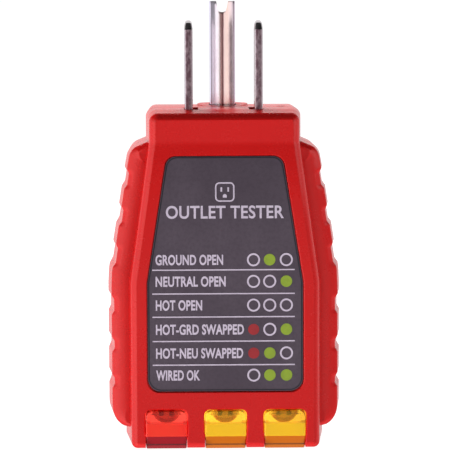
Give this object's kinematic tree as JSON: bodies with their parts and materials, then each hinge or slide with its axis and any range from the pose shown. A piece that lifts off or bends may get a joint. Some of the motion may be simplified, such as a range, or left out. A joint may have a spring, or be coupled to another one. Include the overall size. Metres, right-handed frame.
{
  "type": "outlet tester plug",
  "caption": "Hand-held receptacle tester: red two-part case with grip wings, chart plate, coloured lamp windows on the end, two flat blades and a folded ground pin.",
  "frame": {"origin": "on the plug face, midway between the two flat blades", "axes": "+Z along the prongs, towards the outlet; -Y out of the chart side; +Y towards the ground pin and the flat rear face; +X to the right when the chart is read, on the hot blade's side"},
  "size_m": [0.0424, 0.0279, 0.0807],
  "materials": {
    "case_red": "glossy moulded ABS",
    "chart_grey": "satin printed overlay",
    "lens_red": "clear tinted polycarbonate",
    "lens_amber": "clear tinted polycarbonate",
    "prong_nickel": "nickel plated, drawn grain",
    "retainer_ivory": "moulded",
    "tray_white": "opaque white",
    "board_green": "solder mask on glass fibre laminate",
    "lamp_glass": "clear",
    "electrode_metal": "drawn",
    "resistor_coat": "lacquered",
    "wire_black": "extruded",
    "wire_white": "extruded",
    "wire_green": "extruded",
    "solder": "bright",
    "screw_steel": "zinc plated"
  },
  "bodies": {
    "root": {"front_shell": "case_red", "rear_shell": "case_red", "label_plate": "chart_grey", "lens_red": "lens_red", "lens_amber_centre": "lens_amber", "lens_amber_right": "lens_amber", "hot_blade": "prong_nickel", "neutral_blade": "prong_nickel", "ground_pin": "prong_nickel", "blade_retainer": "retainer_ivory", "circuit_board": "board_green", "lamp_divider": "tray_white", "neon_glass_left": "lamp_glass", "neon_glass_centre": "lamp_glass", "neon_glass_right": "lamp_glass", "neon_electrodes_left": "electrode_metal", "neon_electrodes_centre": "electrode_metal", "neon_electrodes_right": "electrode_metal", "resistor_left": "resistor_coat", "resistor_centre": "resistor_coat", "resistor_right": "resistor_coat", "hot_wire": "wire_black", "neutral_wire": "wire_white", "ground_wire": "wire_green", "solder_joints": "solder", "board_screws": "screw_steel", "case_screws": "screw_steel"}
  },
  "joints": []
}
